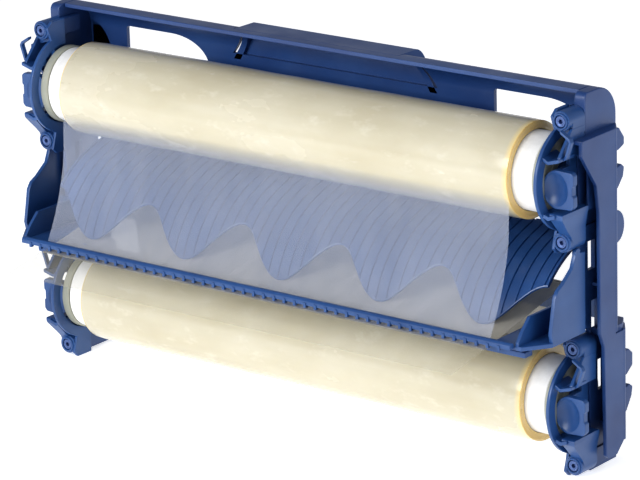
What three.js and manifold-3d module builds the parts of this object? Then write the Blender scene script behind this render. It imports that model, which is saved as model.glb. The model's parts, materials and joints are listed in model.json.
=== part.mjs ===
// Film cartridge of a cold roll laminator: a moulded frame that carries two supply rolls of
// self-adhesive film, the ribbed chute that leads the print between them and the toothed bar
// where both films leave together. Millimetres, +X along the rolls, -Y towards the exit, +Z up.
import * as THREE from 'three';
import { mergeVertices } from 'three/addons/utils/BufferGeometryUtils.js';
import Module from 'manifold-3d';

const wasm = await Module();
wasm.setup();

// ---- driving dimensions ----
const gap = 0.3; // clearance between touching pieces
const roundSteps = 48; // sides of every turned piece

// supply rolls; places below are measured from the upper roll's axis
const upperAxis = { y: 0, z: 0 };
const lowerAxis = { y: 9.1, z: -124.8 };
const filmRadius = 26.25;
const filmHalfLength = 152.5;
const coreRadius = 21.2;
const coreWall = 2.2;
const coreHalfLength = 165.2;
const hubEnd = 170.4; // outer face of the hub's flange
const hubFlangeRadius = 22;
const hubFlangeInner = 165.5;
const hubPlugDepth = 24;
const spigotRadius = 7;

// end caps
const flangeInner = 171;
const flangeOuter = 173;
const flangeHole = 22.4;
const flangeRadius = 28.6;
const capPlateInner = 174.5;
const capReach = 188; // outer edge of the finger plate
const bossX = 177;
const bossRadius = 5.4;
const bossHeight = 32.2; // boss centre above and below the roll's axis
const bossFront = -12.8;
const partingY = 2; // where the cap meets the frame, behind the roll's axis
const footDrop = 39.2; // underside of the cap's foot below the roll's axis
const fingerPlateY = -17.6;
const screwHeadRadius = 3.1;
const screwShankRadius = 1.5;
const socketRadius = 1.35;
const socketDepth = 1.5;
const screwRecess = 0.6;
const screwHeadHeight = 2.2;
const screwEnd = 10.5; // tip of the screw behind the parting plane

// side frames
const wallInner = 175.5;
const wallOuter = 178;
const blockOuter = 182.2;
const frameOuter = 188;
const frameTop = 44.4;
const ledgeZ = 22.4;
const upperBack = 30.7;
const lowerBack = 38;
const stepZ = -89; // height where the lower half is set back
const baseZ = lowerAxis.z - footDrop;
const shellWall = 2.4;
const lugInner = 179;
const lugReach = 7.6;
const slotWidth = 6.4;
const slotHeight = 17;
const slotPlaces = [[10.2, -53], [13, -87], [18.6, -121]]; // front lower corners in Y and Z
const ribThickness = 1.8;
const ribs = [
  { z: -18, front: 12, back: upperBack },
  { z: -62, front: 14, back: upperBack },
  { z: -140, front: 20, back: lowerBack },
];
const postHalf = 4.6; // half the width of the post behind a screw
const postDepth = 14;

// back panel, rail and handle
const panelHalf = wallInner - gap;
const railFront = 6.9;
const railRound = 16.5;
const panelBottom = -33.5;
const windowStarts = [-148, 107]; // straight left edges of the two windows
const windowWidth = 60;
const windowTop = 30.4;
const windowBottom = -14;
const windowShoulder = 14; // height where a window's right edge begins to curve
const windowRound = 27;
const handleHalfBase = 65;
const handleHalfTop = 51;
const handleFront = railFront + 6;
const handleBottom = frameTop - 19;

// ribbed chute
const chuteHalf = 168;
const chuteFoldY = 14;
const chuteFoldZ = -41;
const chuteRadius = 60;
const chuteStartAngle = 17; // degrees below level at the fold
const chuteEndAngle = 76;
const chuteWall = 2;
const wavePitch = 67.3;
const waveMiddle = -68;
const waveAmplitude = 11.2;

// exit bar, film support and cheeks
const barFront = -46.5;
const barBack = -42.6;
const barTop = -78.8;
const barBottom = -82.2;
const barHalf = 168;
const toothPitch = 7;
const toothCount = 47;
const toothDrop = 1.3;
const cheekInner = 168.3;
const cheekOuter = 182;
const humpHeight = 6;
const humpHalfWidth = 15;
const humpY = -29.5;
const humpTop = -81.7;

// film
const filmSheet = 0.4;
const tailFront = -75.7;

// ---- solids ----
function toSolid(geometry) {
  const bare = geometry.clone();
  bare.deleteAttribute('normal');
  bare.deleteAttribute('uv');
  const merged = mergeVertices(bare, 1e-4);
  return new wasm.Manifold(new wasm.Mesh({
    numProp: 3,
    vertProperties: new Float32Array(merged.attributes.position.array),
    triVerts: new Uint32Array(facingOut(merged)),
  }));
}

// the triangles of a closed geometry, turned round if they face inwards
function facingOut(geometry) {
  const corner = [new THREE.Vector3(), new THREE.Vector3(), new THREE.Vector3()];
  const index = Array.from(geometry.index.array);
  let volume = 0;
  for (let i = 0; i < index.length; i += 3) {
    corner.forEach((point, k) => {
      point.fromBufferAttribute(geometry.attributes.position, index[i + k]);
    });
    volume += corner[0].dot(corner[1].clone().cross(corner[2]));
  }
  return volume < 0 ? index.reverse() : index;
}

function toGeometry(solid) {
  const mesh = solid.getMesh();
  const geometry = new THREE.BufferGeometry();
  geometry.setAttribute('position', new THREE.BufferAttribute(mesh.vertProperties, 3));
  geometry.setIndex(new THREE.BufferAttribute(mesh.triVerts, 1));
  geometry.computeVertexNormals();
  return geometry;
}

function join(...solids) {
  return solids.reduce((whole, solid) => whole.add(solid));
}

function cut(solid, ...tools) {
  return tools.reduce((rest, tool) => rest.subtract(tool), solid);
}

function box(x0, x1, y0, y1, z0, z1) {
  const geometry = new THREE.BoxGeometry(x1 - x0, y1 - y0, z1 - z0);
  geometry.translate((x0 + x1) / 2, (y0 + y1) / 2, (z0 + z1) / 2);
  return toSolid(geometry);
}

function extrude(shape, depth, curveSegments) {
  return new THREE.ExtrudeGeometry(shape, { depth, bevelEnabled: false, curveSegments });
}

// an outline in Y and Z, drawn out along X from x0 to x1
function alongX(outline, x0, x1, curveSegments = 12) {
  const shape = Array.isArray(outline) ? new THREE.Shape(points(outline)) : outline;
  const geometry = extrude(shape, x1 - x0, curveSegments);
  geometry.applyMatrix4(new THREE.Matrix4().set(
    0, 0, 1, x0,
    1, 0, 0, 0,
    0, 1, 0, 0,
    0, 0, 0, 1,
  ));
  return toSolid(geometry);
}

// an outline in X and Z, drawn out along Y from y0 to y1
function alongY(outline, y0, y1, curveSegments = 12) {
  const shape = Array.isArray(outline) ? new THREE.Shape(points(outline)) : outline;
  const geometry = extrude(shape, y1 - y0, curveSegments);
  geometry.rotateX(Math.PI / 2);
  geometry.translate(0, y1, 0);
  return toSolid(geometry);
}

// an outline in X and Y, drawn out along Z from z0 to z1
function alongZ(outline, z0, z1) {
  const geometry = extrude(new THREE.Shape(points(outline)), z1 - z0, 12);
  geometry.translate(0, 0, z0);
  return toSolid(geometry);
}

function points(pairs) {
  return pairs.map(([a, b]) => new THREE.Vector2(a, b));
}

// a piece turned about the X axis: [radius, x] pairs
function turnedX(profile) {
  const geometry = new THREE.LatheGeometry(points(profile), roundSteps);
  geometry.rotateZ(-Math.PI / 2);
  return toSolid(geometry);
}

// a piece turned about an axis parallel to Y: [radius, y] pairs
function turnedY(profile, x, y, z, steps = 20) {
  const geometry = new THREE.LatheGeometry(points(profile), steps);
  geometry.translate(x, y, z);
  return toSolid(geometry);
}

function mirrored(geometry) {
  const copy = geometry.clone();
  copy.scale(-1, 1, 1);
  const index = copy.index.array;
  for (let i = 0; i < index.length; i += 3) {
    [index[i], index[i + 1]] = [index[i + 1], index[i]];
  }
  copy.computeVertexNormals();
  return copy;
}

// ---- materials ----
function plastic(colour, roughness) {
  return new THREE.MeshStandardMaterial({ color: colour, roughness, metalness: 0 });
}

const bluePlastic = plastic(0x3f6aa8, 0.4);
const deepBluePlastic = plastic(0x2c4f93, 0.45);
const hubPlastic = plastic(0xb4b9b2, 0.5);
const coreStock = plastic(0xf0f0ea, 0.6);
const filmStock = plastic(0xe9dfc0, 0.25);
const filmWeb = plastic(0xe6e4de, 0.2);
const steel = new THREE.MeshStandardMaterial({ color: 0x55585e, roughness: 0.35, metalness: 1 });

// ---- the assembly ----
const cartridge = new THREE.Group();
cartridge.position.set(0, -(tailFront + lowerBack + lugReach) / 2, -baseZ);

function place(name, geometry, material, y = 0, z = 0) {
  const mesh = new THREE.Mesh(geometry, material);
  mesh.name = name;
  mesh.position.set(0, y, z);
  cartridge.add(mesh);
}

// ---- supply rolls ----
function filmRollGeometry() {
  return toGeometry(turnedX([
    [coreRadius + gap, -filmHalfLength],
    [filmRadius, -filmHalfLength],
    [filmRadius, filmHalfLength],
    [coreRadius + gap, filmHalfLength],
    [coreRadius + gap, -filmHalfLength],
  ]));
}

function coreGeometry() {
  return toGeometry(turnedX([
    [coreRadius - coreWall, -coreHalfLength],
    [coreRadius, -coreHalfLength],
    [coreRadius, coreHalfLength],
    [coreRadius - coreWall, coreHalfLength],
    [coreRadius - coreWall, -coreHalfLength],
  ]));
}

// flanged plug in the end of the core, with the bore that turns on the cap's spigot
function hubGeometry() {
  const bore = spigotRadius + gap;
  const plug = coreRadius - coreWall - gap;
  return toGeometry(turnedX([
    [bore, coreHalfLength - hubPlugDepth],
    [plug - 1.5, coreHalfLength - hubPlugDepth],
    [plug, coreHalfLength - hubPlugDepth + 1.5],
    [plug, hubFlangeInner],
    [hubFlangeRadius, hubFlangeInner],
    [hubFlangeRadius, hubEnd],
    [bore, hubEnd],
    [bore, coreHalfLength - hubPlugDepth],
  ]));
}

function addSupplyRoll(prefix, axis) {
  place(`${prefix}_film_roll`, filmRollGeometry(), filmStock, axis.y, axis.z);
  place(`${prefix}_core`, coreGeometry(), coreStock, axis.y, axis.z);
  place(`${prefix}_right_hub`, hubGeometry(), hubPlastic, axis.y, axis.z);
  place(`${prefix}_left_hub`, mirrored(hubGeometry()), hubPlastic, axis.y, axis.z);
}

// ---- end caps, drawn for the right end about the roll's axis ----
function flangePlate() {
  const shape = new THREE.Shape();
  const shoulder = Math.asin((bossHeight - bossRadius) / flangeRadius);
  shape.moveTo(partingY, bossHeight + bossRadius);
  shape.lineTo(bossFront + 4, bossHeight + bossRadius);
  shape.lineTo(bossFront, bossHeight + 2);
  shape.absarc(0, 0, flangeRadius, Math.PI - shoulder, Math.PI + shoulder, false);
  shape.lineTo(bossFront, -footDrop + 3);
  shape.lineTo(bossFront + 3, -footDrop);
  shape.lineTo(partingY, -footDrop);
  const plate = alongX(shape, flangeInner, flangeOuter, 24);
  const hole = alongX(discShape(flangeHole), flangeInner - 1, flangeOuter + 1, 24);
  return cut(plate, hole);
}

function discShape(radius) {
  const disc = new THREE.Shape();
  disc.absarc(0, 0, radius, 0, Math.PI * 2, false);
  return disc;
}

function bossSleeve(side) {
  const z = side * bossHeight;
  const sleeve = turnedY([
    [0, bossFront],
    [bossRadius, bossFront],
    [bossRadius, partingY],
    [0, partingY],
  ], bossX, 0, z);
  const low = side > 0 ? z - bossRadius : -footDrop;
  const high = z + bossRadius;
  return join(sleeve, box(flangeInner + 0.5, blockOuter - 2, -7, partingY, low, high));
}

function screwBore(side) {
  const z = side * bossHeight;
  return turnedY([
    [0, bossFront - 1],
    [screwHeadRadius + gap, bossFront - 1],
    [screwHeadRadius + gap, bossFront + screwRecess + screwHeadHeight + gap],
    [screwShankRadius + gap, bossFront + screwRecess + screwHeadHeight + gap],
    [screwShankRadius + gap, partingY + 1],
    [0, partingY + 1],
  ], bossX, 0, z);
}

// front frame of the cap: two slanted wings with windows, and the dished finger plate
function wing(s) {
  const outline = [
    [flangeOuter - 1, 13],
    [180, 12.6],
    [185.6, 16],
    [187.2, 25],
    [blockOuter, 28],
    [flangeOuter - 1, 28],
  ];
  const opening = [
    [flangeInner - 6, 15.4],
    [179, 15.2],
    [182.6, 17.4],
    [180.4, 26],
    [flangeInner - 6, 26],
  ];
  const face = alongY(flipped(outline, s), fingerPlateY, fingerPlateY + 2.2);
  const hole = alongY(flipped(opening, s), fingerPlateY - 5, fingerPlateY + 5);
  return cut(face, hole);
}

function flipped(outline, s) {
  return outline.map(([x, z]) => [x, s * z]);
}

function fingerPlate() {
  const plate = box(capPlateInner, capReach, fingerPlateY, fingerPlateY + 3, -10.4, 9.4);
  const dish = new THREE.SphereGeometry(22, 40, 24);
  dish.translate(180.5, fingerPlateY - 20.4, -0.5);
  return cut(plate, toSolid(dish));
}

function capGeometry() {
  const sidePlate = box(capPlateInner, 177, fingerPlateY, partingY, -28, 28);
  const slots = [10.2, -12.6].map((z) => box(
    capPlateInner - 1, 178, fingerPlateY - 1, -5, z, z + 2.2,
  ));
  const spigot = turnedX([
    [0, coreHalfLength - hubPlugDepth + 2],
    [spigotRadius, coreHalfLength - hubPlugDepth + 2],
    [spigotRadius, wallInner - gap],
    [0, wallInner - gap],
  ]);
  const bridges = [12.8, -15].map((z) => box(
    flangeOuter - 1, capPlateInner + 1, -25.2, -10, z, z + 2.2,
  ));
  const outer = join(
    bossSleeve(1), bossSleeve(-1), cut(sidePlate, ...slots), wing(1), wing(-1), fingerPlate(),
    ...bridges,
  );
  const cap = join(flangePlate(), outer, spigot);
  const behind = box(140, 200, partingY, 60, -60, 60);
  const bored = cut(cap, screwBore(1), screwBore(-1));
  return toGeometry(cut(bored, cut(behind, spigot)));
}

function screwGeometry() {
  const top = bossFront + screwRecess;
  const underHead = top + screwHeadHeight;
  const socket = turnedY([
    [0, top - 1],
    [socketRadius, top - 1],
    [socketRadius, top + socketDepth],
    [0, top + socketDepth],
  ], bossX, 0, 0, 6);
  const blank = turnedY([
    [0, top],
    [screwHeadRadius, top],
    [screwHeadRadius, underHead],
    [screwShankRadius, underHead],
    [screwShankRadius, partingY + screwEnd - 1.5],
    [0, partingY + screwEnd],
  ], bossX, 0, 0);
  return toGeometry(cut(blank, socket));
}

function addCaps(prefix, axis) {
  const right = capGeometry();
  place(`${prefix}_right_cap`, right, bluePlastic, axis.y, axis.z);
  place(`${prefix}_left_cap`, mirrored(right), bluePlastic, axis.y, axis.z);
  for (const [level, side] of [['top', 1], ['bottom', -1]]) {
    const screw = screwGeometry();
    const z = axis.z + side * bossHeight;
    place(`${prefix}_right_${level}_screw`, screw, steel, axis.y, z);
    place(`${prefix}_left_${level}_screw`, mirrored(screw), steel, axis.y, z);
  }
}

// ---- side frames, drawn for the right end ----
function screwHole(axis, side) {
  return turnedY([
    [0, partingY - 1],
    [screwShankRadius + gap, partingY - 1],
    [screwShankRadius + gap, partingY + 12],
    [0, partingY + 12],
  ], bossX, axis.y, axis.z + side * bossHeight);
}

// a boss behind each cap boss takes the screw
function screwPost(axis, side) {
  const front = axis.y + partingY + gap;
  const z = axis.z + side * bossHeight;
  return box(
    bossX - postHalf, wallOuter + 1, front, front + postDepth, z - postHalf, z + postHalf,
  );
}

function innerWall() {
  const upperFront = partingY + gap;
  const lowerFront = lowerAxis.y + partingY + gap;
  return alongX([
    [railFront + 1, frameTop - 1],
    [upperFront, frameTop - 5],
    [upperFront, stepZ + 12],
    [lowerFront, stepZ + 3],
    [lowerFront, baseZ],
    [lowerBack - 2, baseZ],
    [lowerBack - 2, stepZ],
    [upperBack - 2, stepZ + 4],
    [upperBack - 2, frameTop - 12],
    [18, frameTop - 1],
  ], wallInner, wallOuter);
}

// corner of the frame, rounded to the back and bevelled to the front
function topBlock() {
  const shape = new THREE.Shape();
  const round = upperBack - railRound;
  shape.moveTo(partingY + gap, ledgeZ - 1);
  shape.lineTo(upperBack, ledgeZ - 1);
  shape.lineTo(upperBack, frameTop - railRound);
  shape.absarc(round, frameTop - railRound, railRound, 0, Math.PI / 2, false);
  shape.lineTo(railFront - 1, frameTop);
  shape.lineTo(partingY + gap, frameTop - 3.4);
  return alongX(shape, wallInner, blockOuter);
}

// rear wall of the frame, which bends forward at its outer edge
function channel(back, z0, z1) {
  return alongZ([
    [frameOuter, back - 10],
    [frameOuter, back - 8],
    [blockOuter, back],
    [wallInner, back],
    [wallInner, back - shellWall],
    [blockOuter - 1.2, back - shellWall],
    [frameOuter - shellWall, back - 9],
    [frameOuter - shellWall, back - 10],
  ], z0, z1);
}

function outerWall() {
  return alongX([
    [-9, ledgeZ],
    [-9, 14],
    [4, -4],
    [6.6, -20],
    [7, stepZ + 4],
    [10.5, stepZ - 4],
    [12, -154],
    [14, -156],
    [22, -156],
    [lowerBack - 9.5, -150],
    [lowerBack - 9.5, stepZ + 0.5],
    [upperBack - 9.5, stepZ + 0.5],
    [upperBack - 9.5, ledgeZ],
  ], frameOuter - shellWall, frameOuter);
}

function ledge() {
  return alongZ([
    [wallOuter - 1, 3],
    [blockOuter - 0.5, 3],
    [blockOuter - 0.5, -9],
    [frameOuter, -9],
    [frameOuter, upperBack - 8],
    [blockOuter, upperBack],
    [wallOuter - 1, upperBack],
  ], ledgeZ - shellWall, ledgeZ);
}

function stepShelf() {
  return alongZ([
    [wallOuter - 1, 14],
    [frameOuter - 1, 14],
    [frameOuter - 1, lowerBack - 9],
    [blockOuter, lowerBack - 1],
    [wallOuter - 1, lowerBack - 1],
  ], stepZ, stepZ + 4);
}

function channelRib({ z, front, back }) {
  return alongZ([
    [wallOuter - 1, front],
    [frameOuter - 1, front],
    [frameOuter - 1, back - 9],
    [blockOuter - 1, back - 1],
    [wallOuter - 1, back - 1],
  ], z, z + ribThickness);
}

// a hook or stop on the back that locates the cartridge in its machine; its outline is
// measured backwards from the rear wall
function lug(outline, back) {
  const moved = outline.map(([y, z]) => [back + y, z]);
  return alongX(moved, lugInner, blockOuter);
}

function lugs() {
  const bump = new THREE.Shape();
  bump.moveTo(upperBack - 1, -44);
  bump.lineTo(upperBack, -43);
  bump.quadraticCurveTo(upperBack + 2 * lugReach, -34, upperBack, -25);
  bump.lineTo(upperBack - 1, -24);
  const upperBlock = [[-1, 19], [3, 19], [lugReach, 13], [lugReach, 9], [2, 7], [-1, 7]];
  const upperHook = [[-1, -2], [5, -1], [lugReach, -3], [lugReach - 1, -8], [2, -13], [-1, -15]];
  const lowerBlock = [
    [-1, -104], [4, -104], [lugReach, -107], [lugReach, -114], [2, -118], [-1, -118],
  ];
  const lowerHook = [
    [-1, -125], [5, -124], [lugReach, -126], [lugReach - 1, -131], [2, -138], [-1, -140],
  ];
  return [
    lug(upperBlock, upperBack),
    lug(upperHook, upperBack),
    alongX(bump, lugInner, blockOuter),
    lug(lowerBlock, lowerBack),
    lug(lowerHook, lowerBack),
  ];
}

function sideFrameGeometry() {
  const slots = slotPlaces.map(([y, z]) => box(
    wallInner - 1, wallOuter + 1, y, y + slotWidth, z, z + slotHeight,
  ));
  const posts = [
    screwPost(upperAxis, 1), screwPost(upperAxis, -1),
    screwPost(lowerAxis, 1), screwPost(lowerAxis, -1),
  ];
  const holes = [
    screwHole(upperAxis, 1), screwHole(upperAxis, -1),
    screwHole(lowerAxis, 1), screwHole(lowerAxis, -1),
  ];
  const whole = join(
    cut(innerWall(), ...slots), topBlock(), outerWall(), ledge(), stepShelf(),
    channel(upperBack, stepZ + 1, ledgeZ - 1), channel(lowerBack, -150, stepZ + 1),
    ...ribs.map(channelRib), ...posts, ...lugs(),
  );
  return toGeometry(cut(whole, ...holes));
}

// ---- back panel with the curved top rail ----
function railProfile(offset) {
  const shape = new THREE.Shape();
  const centre = upperBack - railRound;
  shape.moveTo(railFront, frameTop);
  shape.lineTo(railFront, frameTop - offset);
  shape.lineTo(centre, frameTop - offset);
  shape.absarc(centre, frameTop - railRound, railRound - offset, Math.PI / 2, 0, true);
  shape.lineTo(upperBack - offset, panelBottom);
  shape.lineTo(upperBack, panelBottom);
  shape.absarc(centre, frameTop - railRound, railRound, 0, Math.PI / 2, false);
  return shape;
}

// a window with a straight left edge and a right edge that curves over to its top
function windowCutter(start) {
  const shape = new THREE.Shape();
  const roundX = start + windowWidth - windowRound;
  const roundHeight = windowTop - windowShoulder;
  shape.moveTo(start, windowBottom);
  shape.lineTo(start + windowWidth, windowBottom);
  shape.absellipse(roundX, windowShoulder, windowRound, roundHeight, 0, Math.PI / 2, false);
  shape.lineTo(start + 2, windowTop);
  shape.lineTo(start, windowTop - 2);
  return alongY(shape, upperBack - 8, upperBack + 5, 10);
}

// wedge-ended space of the handle, grown on its ends and drawn out from a front plane
function handleBounds(grow, front, bottom) {
  return alongY([
    [handleHalfBase + grow, bottom],
    [handleHalfTop + grow, frameTop + 3],
    [-handleHalfTop - grow, frameTop + 3],
    [-handleHalfBase - grow, bottom],
  ], front, lowerBack);
}

function backPanelGeometry() {
  const panel = alongX(railProfile(shellWall), -panelHalf, panelHalf);
  const opening = handleBounds(gap, handleFront - gap, handleBottom - gap);
  return toGeometry(cut(panel, ...windowStarts.map(windowCutter), opening));
}

// hollow grip that keeps the rail's height to the back; fingers reach in from the front
function handleShellGeometry() {
  const outer = alongX([
    [handleFront, handleBottom],
    [upperBack + 2, handleBottom],
    [upperBack + 2, frameTop - 4],
    [upperBack - 1, frameTop - 0.8],
    [handleFront, frameTop],
  ], -handleHalfBase, handleHalfBase);
  const inner = alongX([
    [0, handleBottom - 5],
    [upperBack - 0.4, handleBottom - 5],
    [upperBack - 0.4, frameTop - 5],
    [upperBack - 2.4, frameTop - 3.2],
    [0, frameTop - 2.4],
  ], -handleHalfBase, handleHalfBase);
  const cavity = inner.intersect(handleBounds(-shellWall, 0, handleBottom - 5));
  return toGeometry(cut(outer.intersect(handleBounds(0, 0, handleBottom)), cavity));
}

// ---- ribbed chute ----
function chuteProfile() {
  const start = THREE.MathUtils.degToRad(chuteStartAngle);
  const end = THREE.MathUtils.degToRad(chuteEndAngle);
  const steps = 10;
  const face = [];
  const back = [];
  for (let i = 0; i <= steps; i += 1) {
    const angle = start + (end - start) * (i / steps);
    const y = chuteFoldY - chuteRadius * (Math.sin(angle) - Math.sin(start));
    const z = chuteFoldZ + chuteRadius * (Math.cos(angle) - Math.cos(start));
    face.push([y, z]);
    back.unshift([y + chuteWall * Math.sin(angle), z - chuteWall * Math.cos(angle)]);
  }
  return [...face, ...back];
}

// everything below the wavy front edge
function waveCutter() {
  const steps = 100;
  const low = chuteFoldZ - chuteRadius;
  const outline = [
    [-chuteHalf - 5, low],
    [chuteHalf + 5, low],
    [chuteHalf + 5, waveMiddle + waveAmplitude],
  ];
  for (let i = steps; i >= 0; i -= 1) {
    const x = chuteHalf * (2 * i / steps - 1);
    outline.push([x, waveMiddle - waveAmplitude * Math.cos(2 * Math.PI * x / wavePitch)]);
  }
  outline.push([-chuteHalf - 5, waveMiddle + waveAmplitude]);
  return alongY(outline, -60, 0);
}

function chuteGeometry() {
  const rearPanel = alongX([
    [chuteFoldY - 2, chuteFoldZ - 0.6],
    [chuteFoldY, chuteFoldZ],
    [upperBack - shellWall - 0.4, chuteFoldZ + 4.4],
    [upperBack - shellWall - 0.4, chuteFoldZ + 2.4],
    [chuteFoldY, chuteFoldZ - 2.4],
    [chuteFoldY - 2, chuteFoldZ - 2.6],
  ], -panelHalf, panelHalf);
  const curved = alongX(chuteProfile(), -chuteHalf, chuteHalf);
  return toGeometry(join(cut(curved, waveCutter()), rearPanel));
}

// ---- exit bar with its teeth ----
function exitBarGeometry() {
  const bar = alongX([
    [barFront, barBottom],
    [barFront, barTop - 1.2],
    [barFront + 1.2, barTop],
    [barBack - 1.2, barTop],
    [barBack, barTop - 1.2],
    [barBack, barBottom],
  ], -barHalf, barHalf);
  const teeth = [];
  for (let i = 0; i < toothCount; i += 1) {
    const x = (i - (toothCount - 1) / 2) * toothPitch;
    teeth.push(box(x - 0.8, x + 0.8, barFront + 0.2, barFront + 1.8,
      barBottom - toothDrop, barBottom + 0.5));
  }
  return toGeometry(join(bar, ...teeth));
}

// cross bar under the film with a rounded hump below each tongue of the chute
function filmSupportGeometry() {
  const top = humpTop - humpHeight;
  const humps = [-2, -1, 0, 1, 2].map((i) => {
    const outline = [];
    const steps = 16;
    for (let k = 0; k <= steps; k += 1) {
      const t = k / steps - 0.5;
      const rise = humpHeight * (0.5 + 0.5 * Math.cos(2 * Math.PI * t));
      outline.push([i * wavePitch + 2 * t * humpHalfWidth, top + rise]);
    }
    outline.push([i * wavePitch + humpHalfWidth, top - 1]);
    outline.push([i * wavePitch - humpHalfWidth, top - 1]);
    return alongY(outline, humpY - 1.2, humpY + 1.2);
  });
  const beam = box(-barHalf, barHalf, humpY - 3.5, humpY + 3.5, top - 3, top + 0.2);
  return toGeometry(join(beam, ...humps));
}

// ---- cheeks at the ends of the exit bar: a channel open to the front and top ----
function cheekGeometry() {
  const back = partingY;
  const floorZ = -83.5;
  const outer = alongX([
    [back, -39.6],
    [-4, -39.6],
    [-8, -45],
    [-17.8, -52],
    [-24, -55],
    [-25.5, -59.4],
    [-27, -67],
    [-29, -76.5],
    [-27.5, -81.5],
    [-25, floorZ],
    [back, floorZ],
  ], cheekOuter - shellWall, cheekOuter);
  const inner = alongX([
    [back, -67.9],
    [-31, -67.9],
    [-38.5, -75],
    [-42, -79.5],
    [-42, floorZ],
    [back, floorZ],
  ], cheekInner, cheekInner + 2);
  const floor = alongZ([
    [cheekInner, -42],
    [cheekInner + 3.5, -42],
    [cheekOuter, -28],
    [cheekOuter, back],
    [cheekInner, back],
  ], floorZ, floorZ + shellWall);
  const rear = box(cheekInner, cheekOuter, back - shellWall, back, floorZ, -67.9);
  return toGeometry(join(outer, inner, floor, rear));
}

// ---- rounded bar that turns the lower film forward ----
function rearGuideGeometry() {
  return toGeometry(alongX([
    [25.4, -84],
    [25.4, -71.2],
    [27, -70],
    [29.2, -70.2],
    [30.6, -72],
    [30.8, -75],
    [30.8, -84],
  ], -panelHalf, panelHalf));
}

// ---- film between the rolls and the exit ----
// a sheet as wide as the film that follows [y, z] points
function webGeometry(path) {
  const half = filmSheet / 2;
  const front = [];
  const rear = [];
  path.forEach(([y, z], i) => {
    const before = path[Math.max(i - 1, 0)];
    const after = path[Math.min(i + 1, path.length - 1)];
    const run = new THREE.Vector2(after[0] - before[0], after[1] - before[1]).normalize();
    front.push([y + run.y * half, z - run.x * half]);
    rear.unshift([y - run.y * half, z + run.x * half]);
  });
  return toGeometry(alongX([...front, ...rear], -filmHalfLength, filmHalfLength));
}

function upperWebPath() {
  const radius = filmRadius + gap + filmSheet / 2;
  const wrap = [4, 14, 24].map((degrees) => {
    const angle = THREE.MathUtils.degToRad(degrees);
    return [-radius * Math.cos(angle), -radius * Math.sin(angle)];
  });
  return [
    ...wrap, [-24.2, -20], [-24.9, -35], [-28.8, -51], [-33.2, -63], [-37.6, -72.5],
    [-41.4, -79.6], [-42.6, -83.3], [-44, -83.9], [-47.2, -83.9],
  ];
}

const lowerWebPath = [
  [35.95, -124], [35.8, -112], [34.6, -96], [32.5, -78], [31.7, -72.4], [30, -69.6],
  [27.4, -69.1], [24, -70.2], [humpY, humpTop + 0.5], [-36, -82.9], [-41.5, -84.6],
  [-47.2, -84.8],
];

function tailGeometry() {
  return toGeometry(alongX([
    [-47.6, -83.9],
    [tailFront, -89.4],
    [tailFront, -90.1],
    [-47.6, -84.7],
  ], -filmHalfLength, filmHalfLength));
}

// ---- everything in its place ----
addSupplyRoll('upper', upperAxis);
addSupplyRoll('lower', lowerAxis);
addCaps('upper', upperAxis);
addCaps('lower', lowerAxis);
const sideFrame = sideFrameGeometry();
place('right_side_frame', sideFrame, deepBluePlastic);
place('left_side_frame', mirrored(sideFrame), deepBluePlastic);
place('back_panel', backPanelGeometry(), deepBluePlastic);
place('handle_shell', handleShellGeometry(), deepBluePlastic);
place('feed_chute', chuteGeometry(), bluePlastic);
place('exit_bar', exitBarGeometry(), bluePlastic);
place('film_support', filmSupportGeometry(), bluePlastic);
const cheek = cheekGeometry();
place('right_cheek', cheek, bluePlastic);
place('left_cheek', mirrored(cheek), bluePlastic);
place('rear_film_guide', rearGuideGeometry(), bluePlastic);
place('upper_web', webGeometry(upperWebPath()), filmWeb);
place('lower_web', webGeometry(lowerWebPath), filmWeb);
place('film_tail', tailGeometry(), filmWeb);

export default cartridge;
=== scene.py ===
import json
import math

import bmesh
import bpy
from mathutils import Matrix, Quaternion, Vector, noise

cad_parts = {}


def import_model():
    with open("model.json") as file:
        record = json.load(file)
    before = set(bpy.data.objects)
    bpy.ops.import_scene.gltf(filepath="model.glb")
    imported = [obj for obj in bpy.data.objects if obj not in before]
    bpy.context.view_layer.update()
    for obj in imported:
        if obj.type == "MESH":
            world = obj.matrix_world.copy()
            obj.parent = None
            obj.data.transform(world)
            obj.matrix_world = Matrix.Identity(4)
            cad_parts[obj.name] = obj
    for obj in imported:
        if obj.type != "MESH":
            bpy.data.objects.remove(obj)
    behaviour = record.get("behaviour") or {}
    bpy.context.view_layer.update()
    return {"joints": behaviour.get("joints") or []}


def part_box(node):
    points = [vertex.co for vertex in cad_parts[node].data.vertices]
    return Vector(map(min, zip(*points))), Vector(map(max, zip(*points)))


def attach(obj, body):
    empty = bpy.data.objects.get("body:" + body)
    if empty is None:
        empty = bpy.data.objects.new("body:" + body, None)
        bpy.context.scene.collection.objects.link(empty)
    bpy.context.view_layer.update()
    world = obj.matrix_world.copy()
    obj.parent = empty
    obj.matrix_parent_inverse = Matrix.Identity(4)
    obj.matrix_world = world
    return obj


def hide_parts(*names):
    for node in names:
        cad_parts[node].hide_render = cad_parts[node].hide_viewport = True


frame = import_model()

MM = 0.001
scene = bpy.context.scene


def joint_place(name):
    joint = next(j for j in frame["joints"] if j["name"] == name)
    return Vector(joint["pos_m"]) / MM


UPPER = joint_place("upper_roll_spin")
LOWER = joint_place("lower_roll_spin")
LOWER_AXIS = LOWER - UPPER


def cad_box(node):
    """A CAD node's lowest and highest corner in millimetres about the upper roll's axis."""
    low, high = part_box(node)
    return low / MM - UPPER, high / MM - UPPER


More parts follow.
